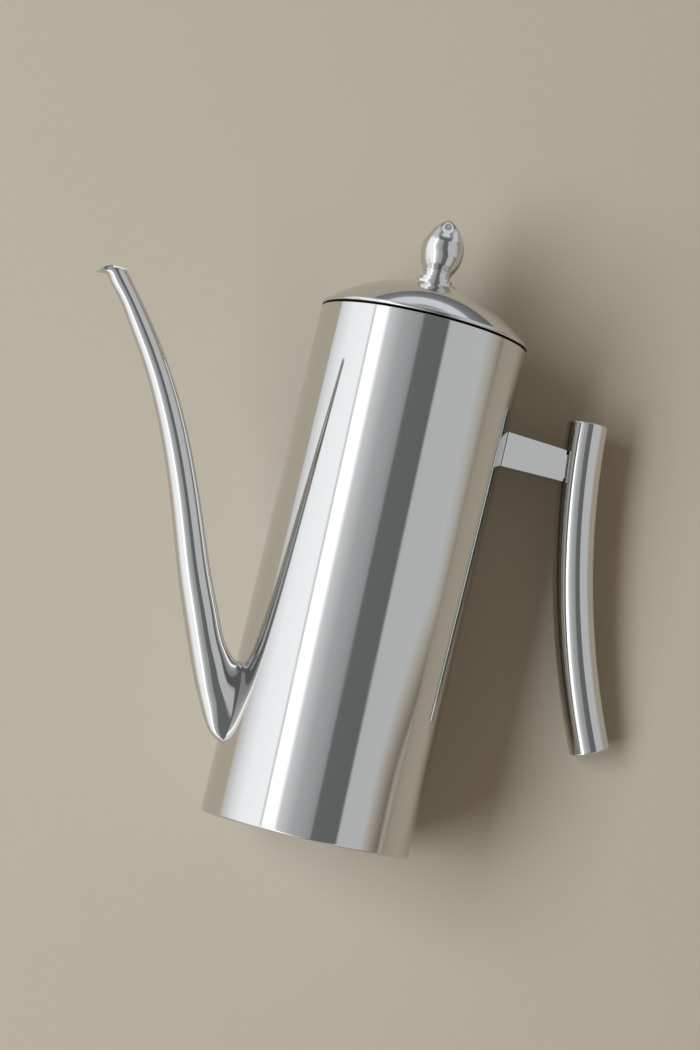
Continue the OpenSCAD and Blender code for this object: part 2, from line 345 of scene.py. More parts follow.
def punched(mesh: bpy.types.Mesh, cutter: bpy.types.Mesh) -> bpy.types.Mesh:
    """Cuts a hole through a mesh and keeps the normals of what is left.

    Args:
        mesh: the mesh to cut.
        cutter: closed mesh of the space to take away.

    Returns:
        The cut mesh.
    """
    same_place, same_way, nearest = 1e-6, 0.98, 1e-7
    target, tool = add_object("cut_target", mesh), add_object("cut_tool", cutter)
    cut = target.modifiers.new("cut", "BOOLEAN")
    cut.operation = "DIFFERENCE"
    cut.solver = "EXACT"
    cut.object = tool
    graph = bpy.context.evaluated_depsgraph_get()
    result = bpy.data.meshes.new_from_object(target.evaluated_get(graph))
    tree = BVHTree.FromPolygons([v.co for v in mesh.vertices], [tuple(p.vertices) for p in mesh.polygons])
    old_normals = [Vector(n.vector) for n in mesh.corner_normals]
    normals = [Vector(n.vector) for n in result.corner_normals]
    for polygon in result.polygons:
        _, _, near, distance = tree.find_nearest(polygon.center)
        source = mesh.polygons[near]
        if distance > same_place or source.normal.dot(polygon.normal) < same_way:
            for loop in polygon.loop_indices:
                normals[loop] = Vector(polygon.normal)
            continue
        corners = [mesh.vertices[v].co for v in source.vertices]
        around = [old_normals[loop] for loop in source.loop_indices]
        for loop in polygon.loop_indices:
            place = result.vertices[result.loops[loop].vertex_index].co
            shares = [1 / max((corner - place).length, nearest) for corner in corners]
            blended = sum((n * w for n, w in zip(around, shares)), Vector())
            normals[loop] = blended.normalized()
    result.polygons.foreach_set("use_smooth", [True] * len(result.polygons))
    result.normals_split_custom_set([tuple(n) for n in normals])
    for item in (target, tool):
        bpy.data.objects.remove(item)
    result.name = mesh.name
    return result


def bored(mesh: bpy.types.Mesh, outline: Sequence[Flat], place: Matrix, length: float) -> bpy.types.Mesh:
    """Cuts a straight hole of any outline through a mesh.

    Args:
        mesh: the mesh to cut.
        outline: the hole's outline in millimetres.
        place: where the outline's plane lies, with the hole along its Z axis.
        length: length of the hole in millimetres.

    Returns:
        The cut mesh.
    """
    builder = bmesh.new()
    base = [builder.verts.new(place @ (Vector((x, y, 0)) * MM)) for x, y in outline]
    bottom = builder.faces.new(base)
    grown = bmesh.ops.extrude_face_region(builder, geom=[bottom])
    shift = place.to_3x3() @ Vector((0, 0, length * MM))
    tops = [item for item in grown["geom"] if isinstance(item, bmesh.types.BMVert)]
    bmesh.ops.translate(builder, vec=shift, verts=tops)
    bmesh.ops.recalc_face_normals(builder, faces=builder.faces)
    cutter = bpy.data.meshes.new("cutter")
    builder.to_mesh(cutter)
    builder.free()
    return punched(mesh, cutter)


# ---- shader groups ----


class Nodes:
    """Short ways to add and link nodes in a tree."""

    def __init__(self, tree: bpy.types.NodeTree) -> None:
        """Keeps the tree.

        Args:
            tree: the node tree to fill.
        """
        self.tree = tree

    def add(self, kind: str, **settings: object) -> bpy.types.Node:
        """Adds a node and sets its properties.

        Args:
            kind: the node's type name.
            **settings: properties of the node.

        Returns:
            The node.
        """
        node = self.tree.nodes.new(kind)
        for key, value in settings.items():
            setattr(node, key, value)
        return node

    def link(self, output: bpy.types.NodeSocket, target: bpy.types.NodeSocket) -> None:
        """Links an output to an input."""
        self.tree.links.new(output, target)

    def feed(self, socket: bpy.types.NodeSocket, value: object) -> None:
        """Links or sets an input, and leaves it alone without a value.

        Args:
            socket: the input.
            value: socket, number, vector or linear colour.
        """
        if isinstance(value, bpy.types.NodeSocket):
            self.link(value, socket)
        elif value is not None:
            socket.default_value = (*value, 1) if socket.type == "RGBA" else value

    def fill(self, node: bpy.types.Node, values: dict[str, object]) -> None:
        """Links or sets several inputs of a node.

        Args:
            node: the node.
            values: what goes into each named input.
        """
        for name, value in values.items():
            self.feed(node.inputs[name], value)

    def math(self, operation: str, first: object, second: object = None) -> bpy.types.NodeSocket:
        """Adds a Math node.

        Args:
            operation: the operation's name.
            first: number or socket.
            second: number or socket, if the operation has one.

        Returns:
            The node's output.
        """
        node = self.add("ShaderNodeMath", operation=operation)
        for socket, value in zip(node.inputs, (first, second)):
            self.feed(socket, value)
        return node.outputs[0]

    def mix(self, factor: object, first: object, second: object) -> bpy.types.NodeSocket:
        """Adds a colour mix.

        Args:
            factor: number or socket.
            first: linear colour or socket at factor 0.
            second: linear colour or socket at factor 1.

        Returns:
            The mixed colour.
        """
        node = self.add("ShaderNodeMix", data_type="RGBA")
        sockets = {socket.identifier: socket for socket in node.inputs}
        for name, value in (("Factor_Float", factor), ("A_Color", first), ("B_Color", second)):
            self.feed(sockets[name], value)
        return next(socket for socket in node.outputs if socket.identifier == "Result_Color")

    def noise(self, vector: bpy.types.NodeSocket, scale: float, detail: float) -> bpy.types.NodeSocket:
        """Adds a noise texture.

        Args:
            vector: where the noise is read.
            scale: number of features per metre.
            detail: number of finer layers.

        Returns:
            The noise's value.
        """
        node = self.add("ShaderNodeTexNoise")
        self.fill(node, {"Vector": vector, "Scale": scale, "Detail": detail})
        return node.outputs["Fac"]

    def mapped(self, value: bpy.types.NodeSocket, old: Flat, new: Sequence[object]) -> bpy.types.NodeSocket:
        """Maps a value from one range to another.

        Args:
            value: the value.
            old: lowest and highest old value.
            new: lowest and highest new value, each a number or a socket.

        Returns:
            The mapped value.
        """
        node = self.add("ShaderNodeMapRange")
        names = ("Value", "From Min", "From Max", "To Min", "To Max")
        self.fill(node, dict(zip(names, (value, *old, *new))))
        return node.outputs["Result"]


def new_group(
    name: str,
    inputs: dict[str, float],
    outputs: dict[str, str],
) -> tuple[Nodes, bpy.types.Node, bpy.types.Node]:
    """Makes an empty shader node group.

    Args:
        name: name of the group.
        inputs: name and default of each number input.
        outputs: name and socket type of each output.

    Returns:
        The group's nodes, its input node and its output node.
    """
    tree = bpy.data.node_groups.new(name, "ShaderNodeTree")
    for key, value in inputs.items():
        socket = tree.interface.new_socket(key, in_out="INPUT", socket_type="NodeSocketFloat")
        socket.default_value = value
    for key, kind in outputs.items():
        tree.interface.new_socket(key, in_out="OUTPUT", socket_type=kind)
    nodes = Nodes(tree)
    return nodes, nodes.add("NodeGroupInput"), nodes.add("NodeGroupOutput")


def new_material(name: str) -> tuple[bpy.types.Material, Nodes, bpy.types.Node]:
    """Makes a material.

    Args:
        name: name of the material.

    Returns:
        The material, its nodes and its shader.
    """
    material = bpy.data.materials.new(name)
    material.use_nodes = True
    return material, Nodes(material.node_tree), material.node_tree.nodes["Principled BSDF"]


def polish_group() -> bpy.types.NodeTree:
    """Builds the hand-polished finish: haze, fine rubbing lines and slow dents in the sheet.

    Returns:
        A group that puts out Roughness, Height and Tone.
    """
    inputs = {"Polish": 0.05, "Haze": 0.05, "Lines": 0.3, "Dents": 1.0}
    outputs = {"Roughness": "NodeSocketFloat", "Height": "NodeSocketFloat", "Tone": "NodeSocketFloat"}
    nodes, group_in, group_out = new_group("HandPolish", inputs, outputs)
    place = nodes.add("ShaderNodeTexCoord").outputs["Object"]
    cloud = nodes.noise(place, scale=28.0, detail=3.0)
    stretched = nodes.add("ShaderNodeMapping")
    nodes.fill(stretched, {"Vector": place, "Scale": (1.0, 1.0, 26.0)})
    rubbing = nodes.noise(stretched.outputs["Vector"], scale=90.0, detail=4.0)
    haze = nodes.mapped(cloud, (0.52, 0.78), (0.0, group_in.outputs["Haze"]))
    rubbed = nodes.mapped(rubbing, (0.45, 0.8), (0.0, 0.06))
    lines = nodes.math("MULTIPLY", rubbed, group_in.outputs["Lines"])
    rough = nodes.math("ADD", nodes.math("ADD", group_in.outputs["Polish"], haze), lines)
    waves = nodes.noise(place, scale=9.0, detail=1.0)
    slow = nodes.math("MULTIPLY", waves, group_in.outputs["Dents"])
    fine = nodes.math("MULTIPLY", rubbing, 0.02)
    height = nodes.math("ADD", slow, fine)
    tone = nodes.mapped(cloud, (0.3, 0.75), (1.0, 0.93))
    nodes.fill(group_out, {"Roughness": rough, "Height": height, "Tone": tone})
    return nodes.tree


@dataclass(frozen=True)
class Steel:
    """Stainless steel in one state of polish.

    Attributes:
        name: name of the material.
        colour: linear colour of the metal.
        polish: roughness where it is cleanest.
        haze: roughness added by smears.
        lines: strength of the rubbing lines.
        dents: strength of the sheet's slow waviness.
        stain: brightness left where the metal is smeared.
        bump: strength of the relief.
        depth: depth of the relief, in millimetres.
    """

    name: str
    colour: Colour = (0.70, 0.695, 0.68)
    polish: float = 0.045
    haze: float = 0.05
    lines: float = 0.3
    dents: float = 1.0
    stain: float = 0.88
    bump: float = 0.35
    depth: float = 0.02

    def material(self, group: bpy.types.NodeTree) -> bpy.types.Material:
        """Makes the material.

        Args:
            group: the hand-polish group.

        Returns:
            The material.
        """
        material, nodes, shader = new_material(self.name)
        finish = nodes.add("ShaderNodeGroup", node_tree=group)
        strengths = {"Polish": self.polish, "Haze": self.haze, "Lines": self.lines, "Dents": self.dents}
        nodes.fill(finish, strengths)
        bump = nodes.add("ShaderNodeBump")
        relief = finish.outputs["Height"]
        nodes.fill(bump, {"Strength": self.bump, "Distance": self.depth * MM, "Height": relief})
        stained = tuple(self.stain * c for c in self.colour)
        looks = {
            "Metallic": 1.0,
            "Base Color": nodes.mix(finish.outputs["Tone"], stained, self.colour),
            "Roughness": finish.outputs["Roughness"],
            "Normal": bump.outputs["Normal"],
        }
        nodes.fill(shader, looks)
        return material


@dataclass(frozen=True)
class Rubber:
    """Matte sealing rubber with a faint mottle.

    Attributes:
        name: name of the material.
        colour: linear colour.
    """

    name: str
    colour: Colour = (0.018, 0.018, 0.019)

    def material(self) -> bpy.types.Material:
        """Makes the material.

        Returns:
            The material.
        """
        material, nodes, shader = new_material(self.name)
        place = nodes.add("ShaderNodeTexCoord").outputs["Object"]
        mottle = nodes.noise(place, scale=600.0, detail=3.0)
        worn = tuple(2 * c for c in self.colour)
        rough = nodes.mapped(mottle, (0.3, 0.7), (0.6, 0.8))
        nodes.fill(shader, {"Base Color": nodes.mix(mottle, self.colour, worn), "Roughness": rough})
        return material


@dataclass
class Finishes:
    """All materials of the kettle, built once.

    Attributes:
        sheet: polished sheet of the body, the spout, the grip and the lid.
        turned: smoother polish of the knob and the grip's caps.
        inside: duller inner faces.
        hardware: the screw and its washers.
        rubber: the gasket.
        scale: painted shade in the gap between the lid and the rim, a near-black dull steel.
    """

    sheet: bpy.types.Material = field(init=False)
    turned: bpy.types.Material = field(init=False)
    inside: bpy.types.Material = field(init=False)
    hardware: bpy.types.Material = field(init=False)
    rubber: bpy.types.Material = field(init=False)
    scale: bpy.types.Material = field(init=False)

    def __post_init__(self) -> None:
        """Builds the shared group and the materials."""
        group = polish_group()
        self.sheet = Steel("polished_sheet").material(group)
        self.turned = Steel("polished_turned", polish=0.03, haze=0.03, dents=0.2).material(group)
        self.inside = Steel("inner_sheet", polish=0.22, haze=0.12, lines=1.0).material(group)
        self.hardware = Steel("screw_steel", polish=0.3, haze=0.1, lines=1.0, dents=0.0).material(group)
        self.rubber = Rubber("gasket_rubber").material()
        # Painted shade: near-black dull steel that stands in for the shadow in the gap over the rim.
        gap_shade_steel = Steel("painted_gap_shade", colour=(0.02, 0.02, 0.018), polish=0.5, dents=0.0)
        self.scale = gap_shade_steel.material(group)


# ---- pieces ----


def place_piece(
    name: str,
    mesh: bpy.types.Mesh,
    finishes: Sequence[bpy.types.Material],
    body: Body,
    *nodes: str,
) -> bpy.types.Object:
    """Adds a piece that stands for CAD nodes and rides on their body.

    Args:
        name: name of the piece.
        mesh: its mesh, in the row frame.
        finishes: its materials, in the order of the mesh's material indices.
        body: the body it rides on.
        *nodes: the CAD nodes it replaces.

    Returns:
        The piece.
    """
    piece = add_object(name, mesh)
    for finish in finishes:
        mesh.materials.append(finish)
    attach(piece, body.value)
    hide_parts(*nodes)
    log.info("%s: %d faces, stands for %s", name, len(mesh.polygons), ", ".join(nodes))
    return piece


def dress_node(node: str, finish: bpy.types.Material) -> None:
    """Gives a CAD node that stays in view its finish.

    Args:
        node: name of the node.
        finish: its material.
    """
    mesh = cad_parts[node].data
    mesh.materials.clear()
    mesh.materials.append(finish)
    log.info("%s: CAD node dressed in %s", node, finish.name)


def pick_finishes(mesh: bpy.types.Mesh, pick: Callable[[Vector, Vector], int]) -> None:
    """Gives each face one of its piece's materials.

    Args:
        mesh: the mesh.
        pick: gives the material's index from a face's centre and normal.
    """
    for polygon in mesh.polygons:
        polygon.material_index = pick(polygon.center, polygon.normal)


@dataclass
class Vessel:
    """The tall rolled body and its pressed base, in millimetres.

    Attributes:
        radius: outside radius.
        height: height of the rim.
        wall: sheet thickness.
        hem: extra thickness of the folded rim.
        rim_round: radius of the rim's edges.
        hem_height: height of the folded rim.
        seam: height of the weld between body and base.
        corner: radius of the rounded corner at the base.
        collar: depth of the base's collar inside the body.
        port_width: width of the opening behind the spout's root.
        port_height: height of that opening.
        port_middle: height of its middle.
        port_past: how far the opening's cutter reaches past the body.
        port_steps: number of faces round each end of the opening.
    """

    radius: float = 45.0
    height: float = 220.5
    wall: float = 0.7
    hem: float = 0.9
    rim_round: float = 0.3
    hem_height: float = 4.0
    seam: float = 5.0
    corner: float = 1.2
    collar: float = 6.0
    port_width: float = 8.0
    port_height: float = 24.0
    port_middle: float = 47.0
    port_past: float = 5.0
    port_steps: int = 16

    def shell(self) -> bpy.types.Mesh:
        """Builds the body with its hemmed rim and the pouring port.

        Returns:
            The mesh.
        """
        soft = self.rim_round
        inner = self.radius - self.wall
        fold = inner - self.hem
        top = self.height - soft
        outline = Outline().line((self.radius, self.seam), (self.radius, top))
        outline.arc((self.radius - soft, top), soft, 0, 90, ROUND_STEPS)
        outline.line((self.radius - soft, self.height), (fold + soft, self.height))
        outline.arc((fold + soft, top), soft, 90, 180, ROUND_STEPS)
        hem_end = self.height - self.hem_height
        outline.line((fold, top), (fold, hem_end), (inner, hem_end))
        outline.line((inner, hem_end), (inner, self.seam), (self.radius, self.seam))
        mesh = outline.turned().mesh("body_shell_skin")
        half, straight = self.port_width / 2, (self.port_height - self.port_width) / 2
        rounds = np.linspace(0, math.pi, self.port_steps + 1)
        hole = [(half * math.cos(t), straight + half * math.sin(t)) for t in rounds]
        hole += [(-half * math.cos(t), -straight - half * math.sin(t)) for t in rounds]
        turn = Matrix.Rotation(math.pi / 2, 4, "X")
        side = Matrix.Rotation(-math.pi / 2, 4, "Z")
        place = Matrix.Translation(Vector((0, 0, self.port_middle)) * MM) @ side @ turn
        return bored(mesh, hole, place, self.radius + self.port_past)

    def pan(self) -> bpy.types.Mesh:
        """Builds the pressed base with its collar inside the body.

        Returns:
            The mesh.
        """
        collar = self.radius - self.wall - FIT
        inner = collar - self.wall
        bend = self.corner - self.wall
        outline = Outline().line((0, 0), (self.radius - self.corner, 0))
        outline.arc((self.radius - self.corner, self.corner), self.corner, -90, 0)
        top = self.seam + self.collar
        outline.line((self.radius, self.corner), (self.radius, self.seam), (collar, self.seam))
        outline.line((collar, self.seam), (collar, top), (inner, top), (inner, self.corner))
        outline.arc((inner - bend, self.corner), bend, 0, -90)
        outline.line((inner - bend, self.wall), (0, self.wall))
        return outline.turned().mesh("base_pan_skin")

    def build(self, finishes: Finishes) -> None:
        """Adds the body and the base.

        Args:
            finishes: the kettle's materials.
        """
        shell, pan = self.shell(), self.pan()
        edge, floor = (self.radius - self.wall / 2) * MM, self.wall / 2 * MM
        for mesh in (shell, pan):
            pick_finishes(mesh, lambda centre, _: int(centre.xy.length < edge and centre.z > floor))
        place_piece("body_skin", shell, (finishes.sheet, finishes.inside), Body.KETTLE, "body_shell")
        place_piece("base_skin", pan, (finishes.sheet, finishes.inside), Body.KETTLE, "base_pan")


@dataclass
class Spout:
    """The pressed gooseneck spout in two halves, in millimetres.

    Attributes:
        vessel: the body that the root stands on.
        reach: distance from the body to the tip.
        mouth_height: height of the mouth.
        root_middle: height of the root's middle.
        root_height: height of the root.
        root_width: width of the root.
        low_radius: radius just above the root.
        tip_radius: radius below the mouth.
        wall: sheet thickness.
        mouth_lean: lean of the tube below the mouth, in degrees.
        lip_out: reach of the pouring lip, in tip radii.
        lip_drop: droop of the pouring lip, in tip radii.
        around: number of faces round half of the spout.
        along: number of faces from root to mouth.
        sunk: how far the root stands inside the body's face.
        root_slant: how much more the wall takes up where it slants into the root.
        mouth_start: share of reach and rise where the mouth's sections start.
        mouth_rise: height of the mouth over that place, as a share of the rise.
        mouth_spread: how much wider the lip is than the tube, as a share.
    """

    vessel: Vessel
    reach: float = 99.4
    mouth_height: float = 209.6
    root_middle: float = 47.0
    root_height: float = 34.8
    root_width: float = 13.0
    low_radius: float = 7.4
    tip_radius: float = 4.15
    wall: float = 0.6
    mouth_lean: float = 41.5
    lip_out: float = 1.92
    lip_drop: float = 1.28
    around: int = 40
    along: int = 170
    sunk: float = 0.1
    root_slant: float = 1.25
    mouth_start: Flat = (0.8734, 0.9613)
    mouth_rise: float = 0.0387
    mouth_spread: float = 0.06

    def place(self, reach: float, rise: float) -> Flat:
        """Gives a point of the middle plane from shares of the reach and the rise."""
        span = self.mouth_height - self.root_middle
        return -self.vessel.radius - reach * self.reach, self.root_middle + rise * span

    def oval(self, where: Flat, lean: float, half: float, half_y: float, a: np.ndarray) -> np.ndarray:
        """Gives a leaning oval section.

        Args:
            where: the section's centre in the middle plane.
            lean: angle of its long direction, in degrees.
            half: half of its size in the middle plane.
            half_y: half of its width.
            a: angles round the section, in radians.

        Returns:
            The section's points.
        """
        tilt = math.radians(lean)
        x = where[0] - half * np.cos(a) * math.cos(tilt)
        z = where[1] - half * np.cos(a) * math.sin(tilt)
        return np.stack([x, -half_y * np.sin(a), z], axis=-1)

    def root(self, a: np.ndarray, inset: float) -> np.ndarray:
        """Gives the root's section, just inside the body's wall.

        Args:
            a: angles round the section, in radians.
            inset: how far inside the outer face, in millimetres.

        Returns:
            The section's points.
        """
        y = -(self.root_width / 2 - inset) * np.sin(a)
        x = -np.sqrt((self.vessel.radius - self.sunk) ** 2 - y * y)
        return np.stack([x, y, self.root_middle - (self.root_height / 2 - inset) * np.cos(a)], axis=-1)

    def mouth(self, a: np.ndarray, inset: float, share: float, flare: float) -> np.ndarray:
        """Gives a section near the level mouth, drawn out into the pouring lip.

        Args:
            a: angles round the section, in radians.
            inset: how far inside the outer face, in millimetres.
            share: how far towards the mouth.
            flare: how much of the lip it has.

        Returns:
            The section's points.
        """
        lean = math.radians(self.mouth_lean)
        front = np.maximum(np.cos(a), 0) ** 3 * (self.lip_out - 1)
        radius = self.tip_radius - inset
        side = radius * (np.cos(a) + front * flare)
        rim = radius * (np.cos(a) + front)
        rise = self.mouth_rise * (self.mouth_height - self.root_middle)
        level = (rise + rim * math.sin(lean)) / math.cos(lean)
        along = share * (level - self.lip_drop * self.tip_radius * np.maximum(np.cos(a), 0) ** 3)
        centre = self.place(*self.mouth_start)
        x = centre[0] - along * math.sin(lean) - side * math.cos(lean)
        z = centre[1] + along * math.cos(lean) - side * math.sin(lean)
        return np.stack([x, -radius * (1 + self.mouth_spread * flare) * np.sin(a), z], axis=-1)

    def sections(self, a: np.ndarray, inset: float) -> np.ndarray:
        """Gives all stated sections from the root to the mouth.

        Args:
            a: angles round the sections, in radians.
            inset: how far inside the outer face, in millimetres.

        Returns:
            An array of sections, angles and coordinates.
        """
        sag = inset * self.root_slant
        low = self.low_radius
        high, wide = self.root_height, self.root_width

        def round_half(share: float) -> float:
            """Gives the tube's radius at a share of its taper."""
            return low + (self.tip_radius - low) * share - inset

        tube = [
            ((0.2161, 0.1998), 26.0, 0.0),
            ((0.2764, 0.2827), 21.8, 0.12),
            ((0.369, 0.4265), 21.8, 0.3),
            ((0.4658, 0.5691), 25.2, 0.466),
            ((0.58, 0.7087), 30.9, 0.63),
            ((0.7075, 0.8322), 36.5, 0.8),
            ((0.774, 0.887), 38.9, 0.885),
        ]
        flare = [
            ((0.032, 0.0075), 83, high * 0.463 - sag, wide * 0.515 - inset),
            ((0.075, 0.0363), 73, high * 0.369 - sag, wide * 0.54 - inset),
            ((0.1156, 0.0747), 60, high * 0.29 - sag, low - inset),
            ((0.1593, 0.1235), 44, low * 1.1 - inset, low - inset),
        ]
        ovals = flare + [(at, lean, round_half(share), round_half(share)) for at, lean, share in tube]
        rows = [self.root(a, sag)]
        rows += [self.oval(self.place(*at), lean, half, half_y, a) for at, lean, half, half_y in ovals]
        rows += [self.mouth(a, inset, *step) for step in ((0, 0), (0.45, 0), (0.78, 0.12), (1, 1))]
        return np.array(rows)

    def skin(self, inset: float, stations: np.ndarray) -> tuple[np.ndarray, np.ndarray]:
        """Gives a whole face of the tube with its normals.

        Args:
            inset: how far inside the outer face, in millimetres.
            stations: where each stated section stands along the spout.

        Returns:
            Points and outward normals, by row and by angle round the whole tube.
        """
        a = np.arange(2 * self.around) * math.pi / self.around
        spline = Spline(stations, self.sections(a, inset))
        rows = [spline.at(stations[-1] * k / self.along) for k in range(self.along + 1)]
        points = np.array([row[0] for row in rows])
        along = np.array([row[1] for row in rows])
        about = np.roll(points, -1, axis=1) - np.roll(points, 1, axis=1)
        normals = np.cross(along, about)
        normals /= np.linalg.norm(normals, axis=2, keepdims=True)
        outward = points - points.mean(axis=1, keepdims=True)
        if (normals * outward).sum() < 0:
            normals = -normals
        return points, normals

    def half(self, far: bool) -> bpy.types.Mesh:
        """Builds one half of the spout.

        Args:
            far: True for the half on the +Y side.

        Returns:
            The mesh.
        """
        middles = self.sections(np.array([math.pi / 2]), 0)[:, 0, ::2]
        gaps = np.linalg.norm(np.diff(middles, axis=0), axis=1)
        stations = np.concatenate([[0.0], np.cumsum(gaps)])
        flip = np.array([1, -1 if far else 1, 1])

        def corners(points: np.ndarray, normals: np.ndarray, sign: int) -> list[list[Corner]]:
            """Takes half of the columns and turns them into corners.

            Args:
                points: points by row and by angle.
                normals: outward normals of the points.
                sign: 1 for the outer face and -1 for the inner one.

            Returns:
                Rows of corners.
            """
            columns = range(self.around + 1)
            return [
                [(Vector(p[c] * flip) * MM, Vector(n[c] * flip) * sign) for c in columns]
                for p, n in zip(points, normals)
            ]

        outer = corners(*self.skin(0, stations), 1)
        inner = corners(*self.skin(self.wall, stations), -1)
        seam = Vector((0, -1 if far else 1, 0))
        rim = (outer[-1][0][0] - outer[-2][0][0]).normalized()
        root = Vector((1, 0, 0))
        surface = Surface()
        surface.add_grid(outer)
        surface.add_grid(inner)
        surface.add_band([outer[-1], inner[-1]], rim)
        surface.add_band([outer[0], inner[0]], root)
        for column in (0, -1):
            surface.add_band([[row[column] for row in side] for side in (outer, inner)], seam)
        return surface.mesh("spout_far_skin" if far else "spout_near_skin")

    def build(self, finishes: Finishes) -> None:
        """Adds both halves.

        Args:
            finishes: the kettle's materials.
        """
        near, far = self.half(False), self.half(True)
        place_piece("spout_near", near, (finishes.sheet,), Body.KETTLE, "spout_half_near")
        place_piece("spout_far", far, (finishes.sheet,), Body.KETTLE, "spout_half_far")


@dataclass
class Handle:
    """The bowed grip tube, its two end caps and the flat stub, in millimetres.

    Attributes:
        vessel: the body that the stub stands on.
        radius: outside radius of the grip.
        wall: wall of the grip tube.
        top: radius and height of the grip axis's upper end.
        bottom: radius and height of its lower end.
        bow: how far the grip bows towards the body.
        cap: thickness of the end caps.
        plug: depth of the caps' plugs.
        plug_gap: gap round the plugs.
        cap_round: share of a cap's thickness that its edge is rounded by.
        steps: number of faces along the grip and round it.
        stub_middle: height of the stub's middle.
        stub_height: height of the stub at the body.
        stub_taper: how much less high it is at the grip.
        stub_width: thickness from side to side.
        stub_round: radius of the stub's long edges.
        groove: width of the groove between the body and the stub's box.
        grip_groove: width of the groove between the stub's box and the grip.
        groove_depth: depth of both grooves.
        body_sunk: how far the stub reaches into the body's face.
        grip_sunk: how far the stub reaches into the grip's face.
    """

    vessel: Vessel
    radius: float = 9.0
    wall: float = 1.0
    top: Flat = (84.2, 201.3)
    bottom: Flat = (119.9, 62.6)
    bow: float = 7.5
    cap: float = 1.2
    plug: float = 3.0
    plug_gap: float = 0.1
    cap_round: float = 0.7
    steps: int = 96
    stub_middle: float = 180.4
    stub_height: float = 15.4
    stub_taper: float = 1.5
    stub_width: float = 9.0
    stub_round: float = 0.6
    groove: float = 2.0
    grip_groove: float = 0.8
    groove_depth: float = 1.6
    body_sunk: float = 0.2
    grip_sunk: float = 0.3

    def __post_init__(self) -> None:
        """Works out the grip's arc."""
        top, bottom = Vector(self.top), Vector(self.bottom)
        chord = bottom - top
        self.arc_radius = ((chord.length / 2) ** 2 + self.bow**2) / (2 * self.bow)
        along = chord.normalized()
        self.centre = (top + bottom) / 2 + (self.arc_radius - self.bow) * Vector((-along.y, along.x))
        self.start = math.atan2(top.y - self.centre.y, top.x - self.centre.x) % (2 * math.pi)
        self.end = math.atan2(bottom.y - self.centre.y, bottom.x - self.centre.x) % (2 * math.pi)

    def axis_x(self, z: float) -> float:
        """Gives the grip axis's distance from the body's axis at a height."""
        return self.centre.x - math.sqrt(self.arc_radius**2 - (z - self.centre.y) ** 2)

    def tube(self) -> bpy.types.Mesh:
        """Builds the bent tube with its bore.

        Returns:
            The mesh.
        """
        cut = self.cap / self.arc_radius
        angles = np.linspace(self.start + cut, self.end - cut, self.steps + 1)
        rounds = full_turn(self.steps) + [0.0]

        def ring(angle: float, radius: float, sign: int) -> list[Corner]:
            """Gives one ring of the tube's outer or inner face.

            Args:
                angle: where on the grip's arc.
                radius: radius of the face, in millimetres.
                sign: 1 for the outer face and -1 for the inner one.

            Returns:
                Points and normals round the ring.
            """
            out = Vector((math.cos(angle), 0, math.sin(angle)))
            middle = Vector((self.centre.x, 0, self.centre.y)) + self.arc_radius * out
            row = []
            for turn in rounds:
                way = out * math.cos(turn) + Vector((0, math.sin(turn), 0))
                row.append(((middle + radius * way) * MM, way * sign))
            return row

        surface = Surface()
        bore = self.radius - self.wall
        outer = [ring(a, self.radius, 1) for a in angles]
        inner = [ring(a, bore, -1) for a in angles]
        surface.add_grid(outer)
        surface.add_grid(inner)
        for k, sign in ((0, -1), (-1, 1)):
            way = Vector((-math.sin(angles[k]), 0, math.cos(angles[k]))) * sign
            surface.add_band([inner[k], outer[k]], way)
        return surface.mesh("grip_tube_skin")

    def cap_mesh(self, name: str, end: Flat, angle: float, over: bool) -> bpy.types.Mesh:
        """Builds an end cap with its rounded edge and plug.

        Args:
            name: name of the mesh.
            end: radius and height of the grip's end.
            angle: angle of that end on the grip's arc.
            over: True for the cap that faces down.

        Returns:
            The mesh.
        """
        edge = self.cap * self.cap_round
        plug = self.radius - self.wall - self.plug_gap
        low = -self.cap - self.plug
        outline = Outline().line((0, low), (plug, low), (plug, -self.cap))
        outline.line((plug, -self.cap), (self.radius, -self.cap), (self.radius, -edge))
        outline.arc((self.radius - edge, -edge), edge, 0, 90, steps=8)
        outline.line((self.radius - edge, 0), (0, 0))
        turn = math.pi - angle + (math.pi if over else 0)
        where = Vector((end[0], 0, end[1])) * MM
        matrix = Matrix.Translation(where) @ Matrix.Rotation(turn, 4, "Y")
        return outline.turned(self.steps).moved(matrix).mesh(name)

    def stub_ring(self, step: Step, inset: float) -> list[Corner]:
        """Gives the rounded box section of the stub at one of its four steps.

        Args:
            step: where along the stub.
            inset: how far the section lies inside the wide box.

        Returns:
            Points and normals round the section.
        """
        taper = self.stub_taper if step in (Step.BOX_END, Step.GRIP) else 0.0
        half_z = (self.stub_height - taper) / 2 - inset
        half_y = self.stub_width / 2 - inset
        r = self.stub_round
        row = []
        for quarter, (sy, sz) in enumerate(((1, 1), (-1, 1), (-1, -1), (1, -1))):
            for k in range(ROUND_STEPS + 1):
                t = math.pi / 2 * (quarter + k / ROUND_STEPS)
                way = Vector((0, math.cos(t), math.sin(t)))
                y = sy * (half_y - r) + r * way.y
                z = sz * (half_z - r) + r * way.z
                middle = self.axis_x(self.stub_middle + z)
                x = {
                    Step.BODY: math.sqrt(self.vessel.radius**2 - y * y) - self.body_sunk,
                    Step.BOX_START: self.vessel.radius + self.groove,
                    Step.BOX_END: middle - self.radius - self.grip_groove,
                    Step.GRIP: middle - math.sqrt(self.radius**2 - y * y) + self.grip_sunk,
                }[step]
                row.append((Vector((x, y, self.stub_middle + z)) * MM, way))
        row.append(row[0])
        return row

